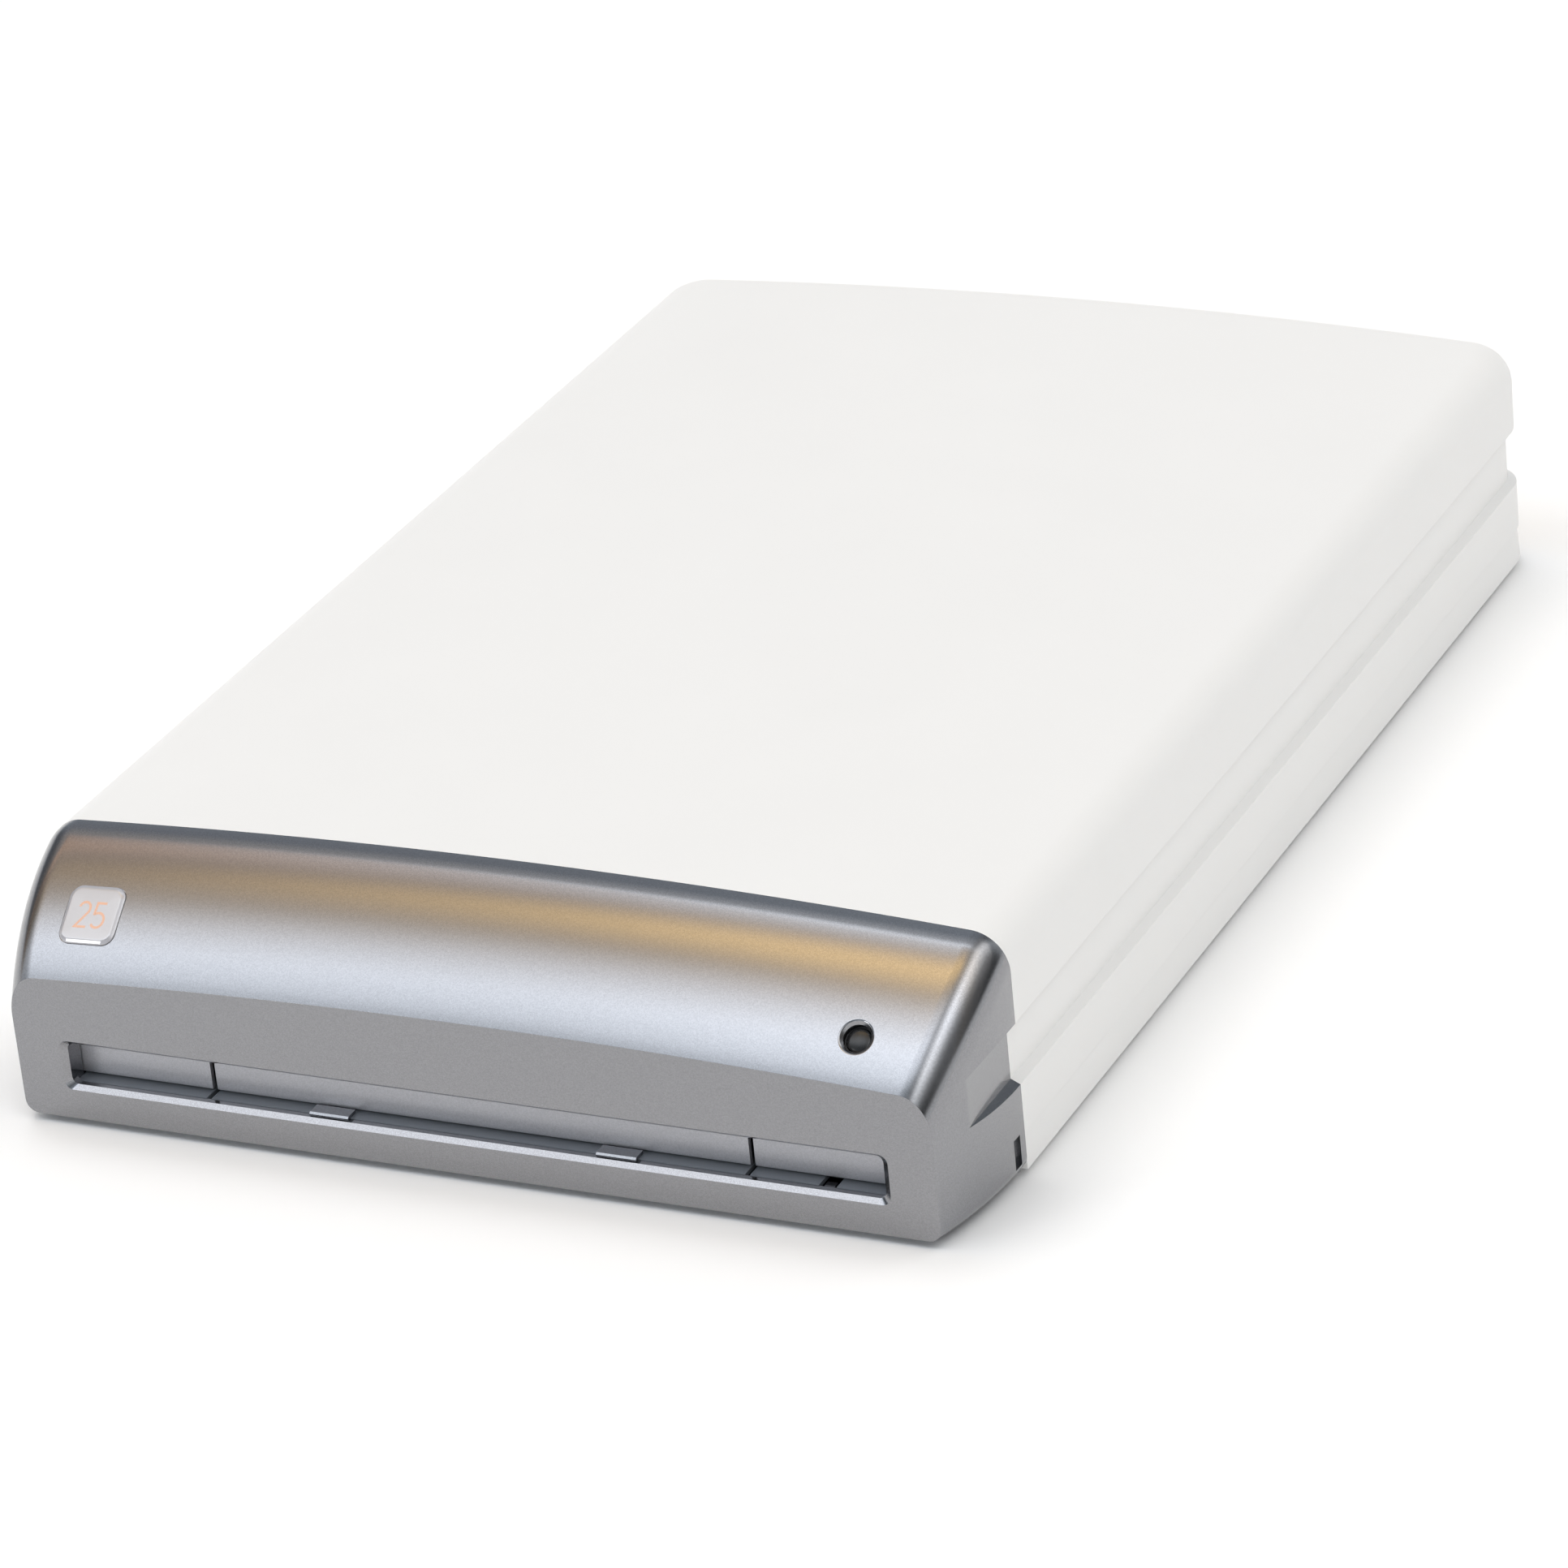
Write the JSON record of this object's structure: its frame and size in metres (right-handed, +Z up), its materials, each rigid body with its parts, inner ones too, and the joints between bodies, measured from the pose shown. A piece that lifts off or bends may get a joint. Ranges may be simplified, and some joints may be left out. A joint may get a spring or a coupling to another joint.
{
  "type": "phosphor plate scanner",
  "caption": "Tabletop scanner for storage phosphor plates: crowned white housing, silver sloping bezel with a shuttered cassette slot, plate carriage and laser optics inside.",
  "frame": {"origin": "on the table, under the middle of the housing's length and width", "axes": "+Z up, the slotted bezel faces -Y, the rear panel faces +Y, +X to the right seen from the front"},
  "size_m": [0.454, 0.713, 0.12],
  "materials": {
    "white_shell": "satin moulded and painted, warm white",
    "silver_bezel": "satin silver paint with fine metal flake",
    "silver_flap": "satin silver paint, a shade darker",
    "dark_plastic": "dark grey, fine grain",
    "black_plastic": "black, fine grain",
    "white_polymer": "natural white, low friction",
    "window_resin": "domed clear resin over light grey",
    "green_board": "solder mask",
    "bright_steel": "ground",
    "zinc_sheet": "zinc plated sheet",
    "grey_panel": "grey powder coat",
    "black_paint": "black paint",
    "cast_aluminium": "machined and cast",
    "dark_anodised": "black anodised",
    "bronze_bush": "sintered bronze",
    "brass_post": "turned brass",
    "black_rubber": "matt rubber",
    "mirror_face": "first-surface mirror",
    "clear_glass": "coated optical glass or acrylic"
  },
  "bodies": {
    "flap_left": {"flap_left": "silver_flap"},
    "flap_centre": {"flap_centre": "silver_flap"},
    "flap_right": {"flap_right": "silver_flap"},
    "power_button": {"power_button": "black_plastic"},
    "latch_hook": {"latch_hook": "bright_steel"},
    "carriage": {"carriage_beam": "cast_aluminium", "linear_bushes": "bronze_bush", "plate_gripper": "dark_anodised", "belt_clamp": "cast_aluminium"},
    "drive_pulley": {"drive_pulley": "cast_aluminium"},
    "idler_pulley": {"idler_pulley": "cast_aluminium"},
    "polygon_mirror": {"polygon_mirror": "mirror_face"},
    "fan_rotor": {"fan_rotor": "black_plastic"},
    "power_rocker": {"power_rocker": "black_plastic"},
    "root": {"base_chassis": "zinc_sheet", "bed_bearers": "white_polymer", "board_parts": "black_plastic", "board_standoffs": "brass_post", "button_sleeve": "black_plastic", "case_screws": "bright_steel", "data_ports": "bright_steel", "display_board": "green_board", "drive_belt": "black_rubber", "eraser_lamp": "white_polymer", "fan_frame": "black_plastic", "fan_guard": "bright_steel", "flap_carrier": "dark_plastic", "flap_hinge_rod": "bright_steel", "fold_mirror": "mirror_face", "front_bezel": "silver_bezel", "guide_rails": "bright_steel", "guide_tabs": "silver_bezel", "home_sensor": "black_plastic", "idler_bracket": "zinc_sheet", "laser_module": "dark_anodised", "latch_solenoid": "black_plastic", "lens_cradles": "dark_anodised", "light_collector": "clear_glass", "lower_case": "white_shell", "main_board": "green_board", "mains_inlet": "black_plastic", "mirror_brackets": "cast_aluminium", "optics_bench": "dark_anodised", "photomultiplier": "black_paint", "polygon_motor": "black_paint", "power_supply": "zinc_sheet", "rail_brackets": "cast_aluminium", "rear_panel": "grey_panel", "rubber_feet": "black_rubber", "scan_lenses": "clear_glass", "side_guides": "white_polymer", "slot_floor": "dark_plastic", "status_window": "window_resin", "switch_frame": "black_plastic", "top_cover": "white_shell", "transport_bed": "dark_anodised", "transport_motor": "black_paint"}
  },
  "joints": [
    {"name": "flap_left_hinge", "type": "hinge", "parent": "root", "child": "flap_left", "pos_m": [-0.16223, -0.3406, 0.0464], "axis": [1, 0, 0], "range_deg": [0, 75], "stiffness_Nm_per_rad": 0.006, "springref_deg": -17.19},
    {"name": "flap_centre_hinge", "type": "hinge", "parent": "root", "child": "flap_centre", "pos_m": [0, -0.3406, 0.0464], "axis": [1, 0, 0], "range_deg": [0, 75], "stiffness_Nm_per_rad": 0.02, "springref_deg": -17.19},
    {"name": "flap_right_hinge", "type": "hinge", "parent": "root", "child": "flap_right", "pos_m": [0.16223, -0.3406, 0.0464], "axis": [1, 0, 0], "range_deg": [0, 75], "stiffness_Nm_per_rad": 0.006, "springref_deg": -17.19},
    {"name": "power_button_press", "type": "slide", "parent": "root", "child": "power_button", "axis": [-0.0383, 0.6511, -0.758], "range_m": [0, 0.0015], "stiffness_N_per_m": 600, "springref_m": -0.0005},
    {"name": "latch_hook_rise", "type": "slide", "parent": "root", "child": "latch_hook", "axis": [0, 0, 1], "range_m": [0, 0.006], "stiffness_N_per_m": 60, "springref_m": -0.002},
    {"name": "carriage_slide", "type": "slide", "parent": "root", "child": "carriage", "axis": [0, 1, 0], "range_m": [-0.43, 0]},
    {"name": "drive_pulley_spin", "type": "hinge", "parent": "root", "child": "drive_pulley", "pos_m": [0.204, 0.195, 0.03], "axis": [1, 0, 0], "continuous": true},
    {"name": "idler_pulley_spin", "type": "hinge", "parent": "root", "child": "idler_pulley", "pos_m": [0.204, -0.298, 0.03], "axis": [1, 0, 0], "continuous": true},
    {"name": "polygon_spin", "type": "hinge", "parent": "root", "child": "polygon_mirror", "pos_m": [0, 0.06, 0.076], "axis": [0, 0, 1], "continuous": true},
    {"name": "fan_spin", "type": "hinge", "parent": "root", "child": "fan_rotor", "pos_m": [-0.112, 0.3402, 0.033], "axis": [0, 1, 0], "continuous": true},
    {"name": "power_rocker_tilt", "type": "hinge", "parent": "root", "child": "power_rocker", "pos_m": [0.072, 0.3447, 0.038], "axis": [1, 0, 0], "range_deg": [-16, 0]}
  ],
  "couplings": [
    {"joint": "drive_pulley_spin", "follows": "carriage_slide", "rad_per_m": -100},
    {"joint": "idler_pulley_spin", "follows": "carriage_slide", "rad_per_m": -100}
  ]
}
